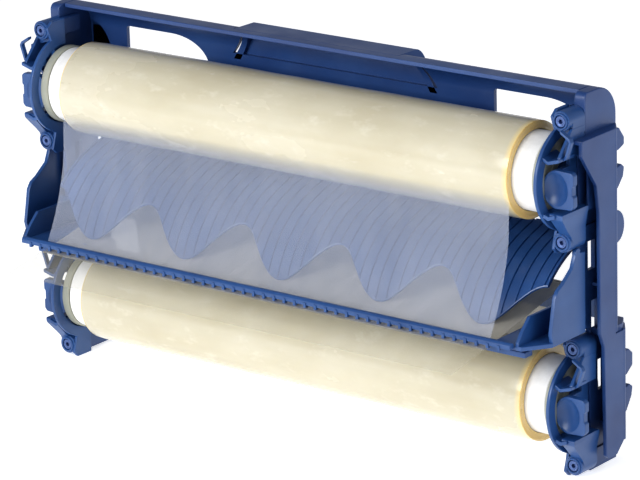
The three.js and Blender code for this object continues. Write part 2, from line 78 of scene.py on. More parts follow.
# ---- driving dimensions, in millimetres ----
film_end = cad_box("upper_film_roll")[1]
FILM_HALF = film_end.x
FILM_RADIUS = film_end.z
core_end = cad_box("upper_core")[1]
CORE_HALF = core_end.x
CORE_RADIUS = core_end.z
hub_end = cad_box("upper_right_hub")[1]
HUB_END = hub_end.x
HUB_FLANGE = hub_end.z
frame_low, frame_high = cad_box("right_side_frame")
FRAME_OUTER = frame_high.x
FRAME_TOP = frame_high.z
BASE_Z = frame_low.z
FLANGE_INNER, FLANGE_OUTER = HUB_END + 0.6, HUB_END + 2.6
FLANGE_HOLE, FLANGE_RADIUS = 22.4, 28.6
BOSS_X, BOSS_HEIGHT, BOSS_RADIUS = 177.0, 32.2, 5.4
BOSS_FRONT, PARTING_Y = -12.8, 2.0
SEAT_RADIUS, SEAT_DEPTH = 3.35, 5.2
SCREW_HEAD, SCREW_SHANK, SOCKET_RADIUS = 3.1, 1.5, 1.35
SPIGOT_RADIUS, HUB_BORE, HUB_SHOULDER = 7.0, 7.3, 165.5
CAP_PLATE_INNER, CAP_PLATE_OUTER = 174.5, 177.0
FOOT_DROP = LOWER_AXIS.z - BASE_Z
PLATE_Y = -17.6
WALL_INNER, WALL_OUTER, BLOCK_OUTER = 175.5, 178.0, 182.2
SHELL = 2.4
LEDGE_Z, STEP_Z = 22.4, -89.0
UPPER_BACK, LOWER_BACK = 30.7, 38.0
LUG_REACH = 7.6
SLOT_WIDTH, SLOT_HEIGHT, POST_HALF, POST_DEPTH = 6.4, 17.0, 4.6, 14.0
RAIL_FRONT, RAIL_ROUND = 6.9, 16.5
PANEL_HALF, PANEL_BOTTOM = 175.2, -33.5
WINDOW_TOP, WINDOW_BOTTOM = 30.4, -14.0
WINDOW_STARTS, WINDOW_WIDTH = (-148.0, 107.0), 60.0
WINDOW_ROUND, WINDOW_SHOULDER = 27.0, 14.0
HANDLE_BASE, HANDLE_TOP = 70.0, 54.0
CHUTE_HALF, FOLD_Y, FOLD_Z = 168.0, 14.0, -41.0
CHUTE_RADIUS, CHUTE_FROM = 60.0, 17.0
WAVE_PITCH, WAVE_MIDDLE, WAVE_HEIGHT = 67.3, -68.0, 11.2
GROOVE_PITCH, GROOVE_DEPTH = 6.65, 0.75
GROOVE_MOUTH, GROOVE_FLOOR = 0.62, 0.4
BAR_FRONT, BAR_BACK, BAR_TOP, BAR_BOTTOM = -46.5, -42.6, -78.8, -82.2
BAR_HALF, TOOTH_PITCH, TOOTH_COUNT, TOOTH_HALF = 168.0, 7.0, 47, 0.9
BEAM_HEIGHT, HUMP_HALF, HUMP_RISE = 3.2, 15.0, 6.0
CHEEK_INNER, CHEEK_OUTER = 168.3, 182.0
TAIL_FRONT = -75.7
FILM_THICKNESS, FILM_COLUMNS = 0.12, 60
FADE_DROP, FADE_HEIGHT = 9.0, 9.0

# ---- studio: places and sizes in metres, angles in degrees ----
AIM = Vector((0.0174, 0.0054, 0.1054))
CAMERA_AZIMUTH, CAMERA_ELEVATION, CAMERA_ROLL = 38.47, 17.45, -1.68
CAMERA_DISTANCE, CAMERA_LENS, SENSOR_WIDTH = 2.008, 209.4, 36
FLOOR_GLOW = 0.5
WORLD_STRENGTH = 0.5


# ---- mesh tools ----
def linked(bm):
    mesh = bpy.data.meshes.new("draft")
    bm.to_mesh(mesh)
    bm.free()
    piece = bpy.data.objects.new("draft", mesh)
    scene.collection.objects.link(piece)
    return piece


def rounded_edges(bm, width, segments=2, least_angle=25):
    edges = [
        e for e in bm.edges
        if len(e.link_faces) == 2 and e.calc_face_angle() > math.radians(least_angle)
    ]
    if width > 0 and edges:
        bmesh.ops.bevel(
            bm, geom=edges, offset=width, offset_type="OFFSET", segments=segments,
            profile=0.5, affect="EDGES", clamp_overlap=True,
        )


PLACES = {
    "x": lambda a, b, t: (t, a, b),
    "y": lambda a, b, t: (a, t, b),
    "z": lambda a, b, t: (a, b, t),
}


def prism(outline, axis, low, high, bevel=0.4, segments=2, least_angle=25):
    """An outline drawn out along an axis. Its points are (y, z), (x, z) or (x, y)."""
    bm = bmesh.new()
    face = bm.faces.new([bm.verts.new(PLACES[axis](a, b, low)) for a, b in outline])
    grown = bmesh.ops.extrude_face_region(bm, geom=[face])["geom"]
    ends = [v for v in grown if isinstance(v, bmesh.types.BMVert)]
    bmesh.ops.translate(bm, verts=ends, vec=PLACES[axis](0, 0, high - low))
    bmesh.ops.recalc_face_normals(bm, faces=bm.faces)
    rounded_edges(bm, bevel, segments, least_angle)
    return linked(bm)


def block(x0, x1, y0, y1, z0, z1, bevel=0.4):
    return prism([(x0, y0), (x1, y0), (x1, y1), (x0, y1)], "z", z0, z1, bevel)


def turned(profile, axis, centre=(0, 0), steps=96, closed=False):
    """A profile of (place along the axis, radius) points turned about an X or Y axis."""
    bm = bmesh.new()
    rings = []
    for along, radius in profile:
        if radius == 0:
            rings.append([bm.verts.new(PLACES[axis](centre[0], centre[1], along))])
            continue
        ring = []
        for k in range(steps):
            angle = 2 * math.pi * k / steps
            a = centre[0] + radius * math.cos(angle)
            b = centre[1] + radius * math.sin(angle)
            ring.append(bm.verts.new(PLACES[axis](a, b, along)))
        rings.append(ring)
    pairs = list(zip(rings, rings[1:]))
    if closed:
        pairs.append((rings[-1], rings[0]))
    for first, second in pairs:
        for k in range(steps):
            corners = [first[k % len(first)], first[(k + 1) % len(first)]]
            corners += [second[(k + 1) % len(second)], second[k % len(second)]]
            bm.faces.new(list(dict.fromkeys(corners)))
    bmesh.ops.recalc_face_normals(bm, faces=bm.faces)
    return linked(bm)


def applied(piece):
    graph = bpy.context.evaluated_depsgraph_get()
    mesh = bpy.data.meshes.new_from_object(piece.evaluated_get(graph))
    piece.modifiers.clear()
    piece.data = mesh
    return piece


def combined(piece, tools, operation):
    for tool in tools:
        change = piece.modifiers.new("change", "BOOLEAN")
        change.operation = operation
        change.solver = "MANIFOLD"
        change.object = tool
    applied(piece)
    for tool in tools:
        bpy.data.objects.remove(tool)
    return piece


def joined(piece, *others):
    return combined(piece, others, "UNION")


def cut(piece, *tools):
    return combined(piece, tools, "DIFFERENCE")


def reshaped(piece, change):
    """Moves each vertex to where change(x, y, z) says."""
    for vertex in piece.data.vertices:
        vertex.co = change(*vertex.co)
    return piece


def shifted(piece, y, z):
    piece.data.transform(Matrix.Translation((0, y, z)))
    return piece


def mirrored(piece):
    mesh = piece.data.copy()
    mesh.transform(Matrix.Scale(-1, 4, (1, 0, 0)))
    mesh.flip_normals()
    copy = bpy.data.objects.new("draft", mesh)
    scene.collection.objects.link(copy)
    return copy


def finished(piece, name, material, nodes, body="root", crease=38):
    """Names a piece, puts it into the row frame, gives it its finish and body, and hides the CAD nodes
    it stands for.
    """
    piece.name = name
    piece.data.name = name
    piece.data.transform(Matrix.Scale(MM, 4) @ Matrix.Translation(UPPER))
    piece.data.materials.clear()
    piece.data.materials.append(material)
    piece.data.shade_smooth()
    piece.data.set_sharp_from_angle(angle=math.radians(crease))
    weighted = piece.modifiers.new("weighted_normals", "WEIGHTED_NORMAL")
    weighted.keep_sharp = True
    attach(piece, body)
    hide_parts(*nodes)


def arc(centre, radius, start, end, steps):
    """Points on a circle, or on an ellipse if radius is a pair, from start to end degrees."""
    wide, high = radius if isinstance(radius, tuple) else (radius, radius)
    angles = [math.radians(start + (end - start) * k / steps) for k in range(steps + 1)]
    return [
        (centre[0] + wide * math.cos(a), centre[1] + high * math.sin(a)) for a in angles
    ]


# ---- materials ----
class Finish:
    """A node material with a Principled shader, and short ways to add noise, mixes and bumps."""

    def __init__(self, name):
        self.material = bpy.data.materials.new(name)
        self.material.use_nodes = True
        self.nodes = self.material.node_tree.nodes
        self.links = self.material.node_tree.links
        self.shader = self.nodes["Principled BSDF"]
        self.place = self.nodes.new("ShaderNodeTexCoord").outputs["Object"]

    def set(self, **values):
        for name, value in values.items():
            self.shader.inputs[name.replace("_", " ")].default_value = value
        return self

    def link(self, output, socket):
        self.links.new(output, self.shader.inputs[socket])
        return self

    def stretched(self, scale):
        node = self.nodes.new("ShaderNodeMapping")
        node.inputs["Scale"].default_value = scale
        self.links.new(self.place, node.inputs["Vector"])
        return node.outputs["Vector"]

    def noise(self, scale, detail=4, roughness=0.5, stretch=(1, 1, 1)):
        node = self.nodes.new("ShaderNodeTexNoise")
        node.inputs["Scale"].default_value = scale
        node.inputs["Detail"].default_value = detail
        node.inputs["Roughness"].default_value = roughness
        self.links.new(self.stretched(stretch), node.inputs["Vector"])
        return node.outputs["Fac"]

    def ramp(self, value, stops):
        node = self.nodes.new("ShaderNodeValToRGB")
        ramp = node.color_ramp
        ramp.elements[0].position, ramp.elements[0].color = stops[0]
        ramp.elements[1].position, ramp.elements[1].color = stops[-1]
        for place, colour in stops[1:-1]:
            ramp.elements.new(place).color = colour
        self.links.new(value, node.inputs["Fac"])
        return node.outputs["Color"]

    def span(self, value, low, high, low_in=0.3, high_in=0.7):
        node = self.nodes.new("ShaderNodeMapRange")
        node.inputs["From Min"].default_value = low_in
        node.inputs["From Max"].default_value = high_in
        node.inputs["To Min"].default_value = low
        node.inputs["To Max"].default_value = high
        self.links.new(value, node.inputs["Value"])
        return node.outputs["Result"]

    def mix(self, factor, first, second):
        node = self.nodes.new("ShaderNodeMix")
        node.data_type = "RGBA"
        for socket, value in ((0, factor), (6, first), (7, second)):
            if hasattr(value, "links"):
                self.links.new(value, node.inputs[socket])
            else:
                node.inputs[socket].default_value = value
        return node.outputs[2]

    def worked_out(self, operation, first, second=0.0):
        node = self.nodes.new("ShaderNodeMath")
        node.operation = operation
        for socket, value in enumerate((first, second)):
            if hasattr(value, "links"):
                self.links.new(value, node.inputs[socket])
            else:
                node.inputs[socket].default_value = value
        return node.outputs[0]

    def part(self, axis):
        """One coordinate of the place on the object, in metres."""
        node = self.nodes.new("ShaderNodeSeparateXYZ")
        self.links.new(self.place, node.inputs["Vector"])
        return node.outputs[axis]

    def bump(self, height, strength, distance):
        node = self.nodes.new("ShaderNodeBump")
        node.inputs["Strength"].default_value = strength
        node.inputs["Distance"].default_value = distance
        self.links.new(height, node.inputs["Height"])
        self.links.new(node.outputs["Normal"], self.shader.inputs["Normal"])
        return self


def srgb(red, green, blue):
    """A colour in 0 to 255 steps as the shader's linear values."""
    linear = []
    for part in (red, green, blue):
        value = part / 255
        linear.append(value / 12.92 if value <= 0.04045 else ((value + 0.055) / 1.055) ** 2.4)
    return (*linear, 1.0)


def moulded_plastic(name, dark, light, roughness):
    """Satin injection moulded plastic: cloudy pigment, long flow marks and a fine etched grain."""
    finish = Finish(name)
    cloud = finish.noise(26, 3)
    flow = finish.noise(60, 2, stretch=(0.25, 0.25, 1))
    tint = finish.ramp(finish.mix(0.35, cloud, flow), [(0.32, dark), (0.68, light)])
    finish.link(tint, "Base Color")
    smudge = finish.noise(45, 5, 0.6)
    finish.link(finish.span(smudge, roughness - 0.06, roughness + 0.08), "Roughness")
    grain = finish.noise(3200, 2)
    finish.bump(grain, 0.18, 0.00006)
    finish.set(Specular_IOR_Level=0.62, IOR=1.5)
    return finish.material


def board_material():
    finish = Finish("white_core_board")
    mottle = finish.noise(160, 4, 0.6)
    finish.link(
        finish.ramp(mottle, [(0.3, srgb(232, 232, 230)), (0.7, srgb(247, 247, 246))]), "Base Color"
    )
    finish.bump(finish.noise(700, 3, 0.5), 0.12, 0.00005)
    finish.set(Roughness=0.6)
    return finish.material


def wound_film_material():
    """Clear film wound into a cream roll: cloudy trapped air, long streaks, amber cut ends."""
    finish = Finish("wound_film")
    x = finish.part("X")
    cloud = finish.noise(22, 5, 0.55, stretch=(0.5, 1, 1))
    cream = finish.ramp(
        cloud,
        [(0.3, srgb(192, 184, 160)), (0.5, srgb(203, 197, 176)), (0.72, srgb(214, 209, 192))],
    )
    streak = finish.noise(16, 6, 0.62, stretch=(0.1, 2.4, 2.4))
    cream = finish.mix(finish.span(streak, 0.0, 0.4), cream, srgb(186, 176, 144))
    fleck = finish.noise(120, 3, 0.7, stretch=(0.5, 1, 1))
    cream = finish.mix(finish.span(fleck, 0.0, 0.35, 0.56, 0.75), cream, srgb(226, 222, 208))
    ring = finish.noise(3600, 2, 0.5, stretch=(0.02, 1, 1))
    amber = finish.ramp(
        ring, [(0.3, srgb(226, 184, 104)), (0.55, srgb(238, 206, 134)), (0.75, srgb(247, 226, 172))]
    )
    rim = finish.span(x, 0.0, 0.75, (FILM_HALF - 3.5) * MM, FILM_HALF * MM)
    cream = finish.mix(rim, cream, srgb(238, 212, 142))
    from_end = finish.worked_out("SUBTRACT", FILM_HALF * MM, finish.worked_out("ABSOLUTE", x))
    at_end = finish.span(from_end, 1.0, 0.0, 0.0001, 0.0004)
    finish.link(finish.mix(at_end, cream, amber), "Base Color")
    finish.link(finish.span(cloud, 0.16, 0.32), "Roughness")
    finish.bump(finish.noise(60, 3, 0.5, stretch=(0.2, 1, 1)), 0.3, 0.0006)
    finish.set(Subsurface_Weight=0.08, Subsurface_Radius=(0.006, 0.004, 0.002))
    finish.set(Subsurface_Scale=1.0, Coat_Weight=0.5, Coat_Roughness=0.1)
    return finish.material


def web_material(name, dark, light, veil, fade_from=None):
    """One thickness of adhesive film: a milky veil with soft streaks and a sheen.

    veil is the least and the most opacity of one face. Above fade_from, a height in metres,
    the film lies on its roll and shows the roll's own colour, and just below it fades in.
    """
    finish = Finish(name)
    streak = finish.noise(30, 5, 0.6, stretch=(3, 0.5, 0.5))
    finish.link(finish.ramp(streak, [(0.3, dark), (0.7, light)]), "Base Color")
    cloud = finish.noise(18, 4, 0.5)
    alpha = finish.span(cloud, *veil)
    if fade_from is not None:
        shown = finish.span(finish.part("Z"), 1.0, 0.0, fade_from - FADE_HEIGHT * MM, fade_from)
        alpha = finish.worked_out("MULTIPLY", alpha, shown)
    finish.link(alpha, "Alpha")
    finish.bump(finish.noise(25, 3, 0.5, stretch=(1, 0.3, 0.3)), 0.04, 0.0006)
    finish.set(Roughness=0.42, Specular_IOR_Level=0.3)
    return finish.material


def steel_material():
    """Steel with fine turning marks; the blue in its base colour is a painted reflection of the blue
    plastic round it.
    """
    finish = Finish("screw_painted_blue_reflection")
    marks = finish.noise(2500, 2, 0.5)
    # painted reflection: the blue base colour stands in for the blue plastic reflected in the steel
    finish.link(
        finish.ramp(marks, [(0.3, srgb(62, 84, 134)), (0.7, srgb(104, 126, 174))]), "Base Color"
    )
    finish.link(finish.span(marks, 0.26, 0.42), "Roughness")
    finish.set(Metallic=0.55)
    return finish.material


def floor_material():
    finish = Finish("pale_floor")
    speck = finish.noise(300, 3)
    finish.link(
        finish.ramp(speck, [(0.2, srgb(250, 250, 250)), (0.8, srgb(253, 253, 253))]), "Base Color"
    )
    finish.set(Roughness=0.9, Specular_IOR_Level=0.1)
    finish.set(Emission_Color=(1, 1, 1, 1), Emission_Strength=FLOOR_GLOW)
    return finish.material


BLUE = moulded_plastic("blue_plastic", srgb(32, 68, 120), srgb(46, 86, 142), 0.34)
# The same blue plastic as BLUE, made darker as painted shade for the side frames, back panel and
# handle.
SHADED_BLUE = moulded_plastic("shaded_blue_plastic", srgb(32, 60, 112), srgb(42, 76, 130), 0.38)
GREY = moulded_plastic("grey_plastic", srgb(146, 148, 136), srgb(168, 170, 158), 0.45)
BOARD = board_material()
WOUND_FILM = wound_film_material()
UPPER_WEB = web_material("upper_film_web", srgb(184, 192, 212), srgb(198, 204, 220),
                         (0.2, 0.25), (UPPER.z - FADE_DROP) * MM)
LOWER_WEB = web_material("lower_film_web", srgb(186, 182, 170), srgb(216, 211, 198), (0.6, 0.72))
TAIL_FILM = web_material("tail_film", srgb(206, 200, 176), srgb(226, 222, 204), (0.12, 0.2))
STEEL = steel_material()


# ---- supply rolls ----
def film_roll():
    """A wound roll with slightly wavy ends and soft ridges from the winding."""
    bore = CORE_RADIUS + 0.3
    body_steps, end_steps = 56, 9
    profile = [(-FILM_HALF, bore + (FILM_RADIUS - bore) * k / end_steps) for k in range(end_steps)]
    profile += [
        (FILM_HALF * (2 * k / body_steps - 1), FILM_RADIUS) for k in range(body_steps + 1)
    ]
    profile += [
        (FILM_HALF, FILM_RADIUS - (FILM_RADIUS - bore) * k / end_steps)
        for k in range(1, end_steps + 1)
    ]
    roll = turned(profile, "x", steps=128, closed=True)

    def wavy(x, y, z):
        radius = math.hypot(y, z)
        if radius < bore + 0.1:
            return x, y, z
        ridge = noise.noise(Vector((x / 28, y / 30, z / 30))) * 0.22 - 0.12
        rim = max(0.0, 1 - (FILM_HALF - abs(x)) / 6)
        layer = noise.noise(Vector((radius * 2.4, 3.7, 0.0))) * 0.35 - 0.2
        grown = 1 + (ridge - 0.25 * rim * rim) / radius * (radius / FILM_RADIUS) ** 6
        shift = math.copysign(layer, x) if abs(x) > FILM_HALF - 0.01 else 0.0
        return x + shift, y * grown, z * grown

    return reshaped(roll, wavy)


def core():
    inner = CORE_RADIUS - 2.2
    profile = []
    for side in (-1, 1):
        end = side * CORE_HALF
        ring = [
            (end - side * 0.35, inner), (end, inner + 0.35),
            (end, CORE_RADIUS - 0.35), (end - side * 0.35, CORE_RADIUS),
        ]
        profile += ring if side < 0 else ring[::-1]
    return turned(profile, "x", steps=128, closed=True)


def hub():
    """Flanged plug with a rounded rim and a shallow ring pressed into its outer face."""
    plug = CORE_RADIUS - 2.5
    inner = CORE_HALF - 24
    return turned(
        [
            (inner, HUB_BORE), (inner, plug - 1.5), (inner + 1.5, plug), (HUB_SHOULDER, plug),
            (HUB_SHOULDER, HUB_FLANGE - 0.6), (HUB_SHOULDER + 0.6, HUB_FLANGE),
            (HUB_END - 0.6, HUB_FLANGE),
            (HUB_END, HUB_FLANGE - 0.6), (HUB_END, 17.4), (HUB_END - 0.8, 17), (HUB_END - 0.8, 12),
            (HUB_END, 11.6), (HUB_END, HUB_BORE + 0.5), (HUB_END - 0.4, HUB_BORE),
        ],
        "x", steps=96, closed=True,
    )


def supply_roll(prefix, axis):
    body = f"{prefix}_roll"

    def put(piece, name, material):
        finished(shifted(piece, axis.y, axis.z), f"{prefix}_{name}_shell", material,
                 [f"{prefix}_{name}"], body)

    put(film_roll(), "film_roll", WOUND_FILM)
    put(core(), "core", BOARD)
    right = hub()
    put(mirrored(right), "left_hub", GREY)
    put(right, "right_hub", GREY)


# ---- end caps, drawn for the right end about the roll's axis ----
def flange():
    """C-shaped plate round the end of the roll, open to the back."""
    shoulder = math.degrees(math.asin((BOSS_HEIGHT - BOSS_RADIUS) / FLANGE_RADIUS))
    opening = math.degrees(math.acos(PARTING_Y / FLANGE_HOLE))
    outline = [(PARTING_Y, BOSS_HEIGHT + BOSS_RADIUS), (BOSS_FRONT + 4, BOSS_HEIGHT + BOSS_RADIUS)]
    outline += [(BOSS_FRONT, BOSS_HEIGHT + 2)]
    outline += arc((0, 0), FLANGE_RADIUS, 180 - shoulder, 180 + shoulder, 40)
    outline += [(BOSS_FRONT, -FOOT_DROP + 3), (BOSS_FRONT + 3, -FOOT_DROP), (PARTING_Y, -FOOT_DROP)]
    outline += arc((0, 0), FLANGE_HOLE, 360 - opening, opening, 60)
    return prism(outline, "x", FLANGE_INNER, FLANGE_OUTER, 0.5, 3)


def boss(side):
    """Round boss with a raised front ring and the screw's recess."""
    front = BOSS_FRONT
    profile = [
        (front + SEAT_DEPTH, 0), (front + SEAT_DEPTH, SEAT_RADIUS), (front + 0.3, SEAT_RADIUS),
        (front, SEAT_RADIUS + 0.3), (front, 4.1), (front + 0.35, 4.45), (front + 0.9, 4.5),
        (front + 0.9, 5.0), (front + 1.3, BOSS_RADIUS), (PARTING_Y, BOSS_RADIUS), (PARTING_Y, 0),
    ]
    return turned(profile, "y", (BOSS_X, side * BOSS_HEIGHT), 48)


def sleeve(side):
    """Body behind a boss: round on the outside with a flat flank towards the finger plate."""
    right = BOSS_X + BOSS_RADIUS
    outline = arc((BOSS_X, BOSS_HEIGHT), BOSS_RADIUS, 180, 0, 12)
    outline += [(right, 24.6), (right - 2.6, 24), (FLANGE_INNER + 0.5, 26.5)]
    outline += [(FLANGE_INNER + 0.5, BOSS_HEIGHT + 2)]
    outline = [(x, side * z) for x, z in outline]
    return prism(outline, "y", -9, PARTING_Y, 0.5)


def upper_wing():
    """Slanted strip beside a window on the hub, with a thin hollow ear outside it."""
    strip = prism(
        [(-9.5, 28.5), (-20.8, 15.6), (-20.8, 13.4), (1.5, 13.4), (1.5, 28.5)],
        "x", 180.6, 182.6, 0.5,
    )
    ear = prism(
        [(180.8, 29.4), (186.6, 25.9), (187.7, 23.8), (184.9, 15.4), (183.2, 13.6), (182, 14.2),
         (183.6, 16.2), (186.2, 23.8), (185.4, 24.9), (180.8, 27.9)],
        "y", PLATE_Y - 1, PLATE_Y + 2, 0.4,
    )
    rib = prism(
        [(171.6, 14), (176, 11.6), (183, 13.6), (183, 15.6), (176, 13.6), (171.6, 16)],
        "y", -22.8, -8, 0.4,
    )
    return [strip, ear, rib]


def lower_wing():
    """Smooth body that slopes back from the finger plate's rib to the lower boss."""
    side_view = [(-21.4, -14.4), (-21.2, -17.2), (-11.4, -28.2), (-9.4, -33), (PARTING_Y, -33),
                 (PARTING_Y, -14.4)]
    front_view = [(176, -10), (184.2, -10), (184, -16.6), (182.4, -25), (182.4, -40), (176, -40)]
    body = combined(prism(side_view, "x", 170, 190, 0.9, 3),
                    [prism(front_view, "y", -30, 10, 0.7, 3)], "INTERSECT")
    rib = prism(
        [(171.6, -14.2), (176, -15.8), (180, -14.4), (180, -16.4), (176, -18), (171.6, -16.4)],
        "y", -22.8, -8, 0.4,
    )
    return [body, rib]


def finger_plate():
    """Plate with an oval dish for a finger; its inner edge follows the dish."""
    centre_x, centre_z = 177.7, -2.4
    dish_wide, dish_high, rim = 7.2, 9.2, 1.1
    edge = (dish_wide + rim, dish_high + rim)
    outline = [(188.2, 6.2), (186.6, 7.6), (centre_x, 7.9)]
    outline += arc((centre_x, centre_z), edge, 90, 172, 14)[1:]
    outline += [(centre_x - 9.2, centre_z)]
    outline += arc((centre_x, centre_z), edge, 188, 270, 14)
    outline += [(186.6, -12.2), (188.2, -10.4), (188.2, -5.2), (187.3, -4.6), (187.3, 0.4),
                (188.2, 1)]
    plate = prism(outline, "y", PLATE_Y, PLATE_Y + 4, 0.5)
    radius, depth = 14.0, 2.7
    reach = math.sqrt(radius ** 2 - (radius - depth) ** 2)
    profile = [(-radius * math.cos(a), radius * math.sin(a)) for a in (
        math.pi * k / 48 for k in range(49))]
    profile[0], profile[-1] = (-radius, 0), (radius, 0)
    ball = turned(profile, "y", (0, 0), 72)
    reshaped(ball, lambda x, y, z: (
        centre_x + x * dish_wide / reach, y + PLATE_Y - radius + depth, centre_z + z * dish_high / reach
    ))
    return cut(plate, ball)


def end_cap():
    side_plate = joined(
        block(CAP_PLATE_INNER, CAP_PLATE_OUTER, -4, PARTING_Y, -28, 28, 0.3),
        block(CAP_PLATE_INNER, CAP_PLATE_OUTER, PLATE_Y + 3.4, -3, -12, 7, 0.3),
    )
    tip, root = CORE_HALF - 22, WALL_INNER - 0.3
    spigot = turned(
        [(tip, 0), (tip, SPIGOT_RADIUS - 0.6), (tip + 0.6, SPIGOT_RADIUS), (root, SPIGOT_RADIUS),
         (root, 0)],
        "x", steps=64,
    )
    parts = [side_plate, spigot, finger_plate(), boss(1), boss(-1), sleeve(1), sleeve(-1)]
    whole = joined(flange(), *parts, *upper_wing(), *lower_wing())
    bores = [
        turned([(BOSS_FRONT - 1, 0), (BOSS_FRONT - 1, SEAT_RADIUS),
                (BOSS_FRONT + SEAT_DEPTH, SEAT_RADIUS), (BOSS_FRONT + SEAT_DEPTH, 0)],
               "y", (BOSS_X, side * BOSS_HEIGHT), 48)
        for side in (1, -1)
    ]
    return cut(whole, *bores)


def screw(side):
    """Pan-head screw with a hexagonal socket, just below the boss's rim."""
    front = BOSS_FRONT + 0.5
    head = turned(
        [(front + 0.25, 0), (front + 0.25, 1.7), (front, 2.1), (front, 2.75),
         (front + 0.35, SCREW_HEAD), (front + 2.6, SCREW_HEAD), (front + 2.6, SCREW_SHANK),
         (PARTING_Y + 9, SCREW_SHANK), (PARTING_Y + 10.5, 0)],
        "y", (BOSS_X, side * BOSS_HEIGHT), 48,
    )
    socket = turned(
        [(front - 1, 0), (front - 1, SOCKET_RADIUS), (front + 2.2, SOCKET_RADIUS),
         (front + 2.2, 0)],
        "y", (BOSS_X, side * BOSS_HEIGHT), 6,
    )
    return cut(head, socket)


def caps(prefix, axis):
    right = end_cap()
    pairs = [("right", right), ("left", mirrored(right))]
    for end, piece in pairs:
        finished(shifted(piece, axis.y, axis.z), f"{prefix}_{end}_cap_shell", BLUE,
                 [f"{prefix}_{end}_cap"])
    for level, side in (("top", 1), ("bottom", -1)):
        one = screw(side)
        for end, piece in (("right", one), ("left", mirrored(one))):
            name = f"{prefix}_{end}_{level}_screw"
            finished(shifted(piece, axis.y, axis.z), f"{name}_head", STEEL, [name])


# ---- side frames, drawn for the right end ----
def side_frame():
    """Channel that is open to the front, with slots, ribs, a top block and lugs at the back."""
    top_front = PARTING_Y + 0.3
    low_front = LOWER_AXIS.y + top_front
    inner = prism(
        [(RAIL_FRONT + 1, FRAME_TOP - 1), (top_front, FRAME_TOP - 5), (top_front, STEP_Z + 12),
         (low_front, STEP_Z + 3), (low_front, BASE_Z), (LOWER_BACK - 2, BASE_Z),
         (LOWER_BACK - 2, STEP_Z),
         (UPPER_BACK - 2, STEP_Z + 4), (UPPER_BACK - 2, FRAME_TOP - 12), (18, FRAME_TOP - 1)],
        "x", WALL_INNER, WALL_OUTER, 0.35,
    )
    slots = [
        block(WALL_INNER - 1, WALL_OUTER + 1, y, y + SLOT_WIDTH, z, z + SLOT_HEIGHT, 0.5)
        for y, z in ((10.2, -53), (13, -87), (18.6, -121))
    ]
    inner = cut(inner, *slots)
    top = [(top_front, LEDGE_Z - 1), (UPPER_BACK, LEDGE_Z - 1)]
    top += arc((UPPER_BACK - RAIL_ROUND, FRAME_TOP - RAIL_ROUND), RAIL_ROUND, 0, 90, 20)
    top += arc((top_front + 3.6, FRAME_TOP - 3.6), 3.6, 90, 180, 6)
    pieces = [prism(top, "x", WALL_INNER, BLOCK_OUTER, 0.7, 3)]
    pieces.append(prism(
        [(-9, LEDGE_Z), (-9, 14), (4, -4), (6.6, -20), (7, STEP_Z + 4), (10.5, STEP_Z - 4),
         (12, -154), (14, -156), (22, -156), (LOWER_BACK - 9.5, -150),
         (LOWER_BACK - 9.5, STEP_Z + 0.5), (UPPER_BACK - 9.5, STEP_Z + 0.5),
         (UPPER_BACK - 9.5, LEDGE_Z)],
        "x", FRAME_OUTER - SHELL, FRAME_OUTER, 0.5,
    ))
    pieces.append(prism(
        [(WALL_OUTER - 1, 3), (BLOCK_OUTER - 0.5, 3), (BLOCK_OUTER - 0.5, -9), (FRAME_OUTER, -9),
         (FRAME_OUTER, UPPER_BACK - 8), (BLOCK_OUTER, UPPER_BACK), (WALL_OUTER - 1, UPPER_BACK)],
        "z", LEDGE_Z - SHELL, LEDGE_Z, 0.6,
    ))
    pieces.append(prism(
        [(WALL_OUTER - 1, 14), (FRAME_OUTER - 1, 14), (FRAME_OUTER - 1, LOWER_BACK - 9),
         (BLOCK_OUTER, LOWER_BACK - 1), (WALL_OUTER - 1, LOWER_BACK - 1)],
        "z", STEP_Z, STEP_Z + 4, 0.4,
    ))
    for back, low, high in ((UPPER_BACK, STEP_Z + 1, LEDGE_Z - 1), (LOWER_BACK, -150, STEP_Z + 1)):
        pieces.append(prism(
            [(FRAME_OUTER, back - 10), (FRAME_OUTER, back - 8), (BLOCK_OUTER, back),
             (WALL_INNER, back), (WALL_INNER, back - SHELL), (BLOCK_OUTER - 1.2, back - SHELL),
             (FRAME_OUTER - SHELL, back - 9), (FRAME_OUTER - SHELL, back - 10)],
            "z", low, high, 0.5,
        ))
    for z, front, back in ((-18, 12, UPPER_BACK), (-62, 14, UPPER_BACK), (-140, 20, LOWER_BACK)):
        pieces.append(prism(
            [(WALL_OUTER - 1, front), (FRAME_OUTER - 1, front), (FRAME_OUTER - 1, back - 9),
             (BLOCK_OUTER - 1, back - 1), (WALL_OUTER - 1, back - 1)],
            "z", z, z + 1.8, 0.3,
        ))
    pieces.append(block(181.4, 182.6, 4, UPPER_BACK - 3, -18, 10, 0.3))
    for axis in (Vector(), LOWER_AXIS):
        for side in (1, -1):
            z = axis.z + side * BOSS_HEIGHT
            front = axis.y + top_front
            pieces.append(block(BOSS_X - POST_HALF, WALL_OUTER + 1, front, front + POST_DEPTH,
                                z - POST_HALF, z + POST_HALF, 0.4))
    return joined(inner, *pieces, *lugs())


def lugs():
    """Hooks and stops on the back that locate the cartridge in its machine."""
    bump = [(UPPER_BACK - 1, -43)]
    bump += arc((UPPER_BACK, -34), (LUG_REACH, 9), -90, 90, 16)
    bump += [(UPPER_BACK - 1, -25)]
    outlines = [
        [(UPPER_BACK + y, z) for y, z in (
            (-1, 19), (3, 19), (LUG_REACH, 13), (LUG_REACH, 9), (2, 7), (-1, 7))],
        [(UPPER_BACK + y, z) for y, z in (
            (-1, -2), (5, -1), (LUG_REACH, -3), (LUG_REACH - 1, -8), (2, -13), (-1, -15))],
        bump,
        [(LOWER_BACK + y, z) for y, z in (
            (-1, -104), (4, -104), (LUG_REACH, -107), (LUG_REACH, -114), (2, -118), (-1, -118))],
        [(LOWER_BACK + y, z) for y, z in (
            (-1, -125), (5, -124), (LUG_REACH, -126), (LUG_REACH - 1, -131), (2, -138),
            (-1, -140))],
    ]
    return [prism(outline, "x", WALL_OUTER + 1, BLOCK_OUTER, 0.6) for outline in outlines]


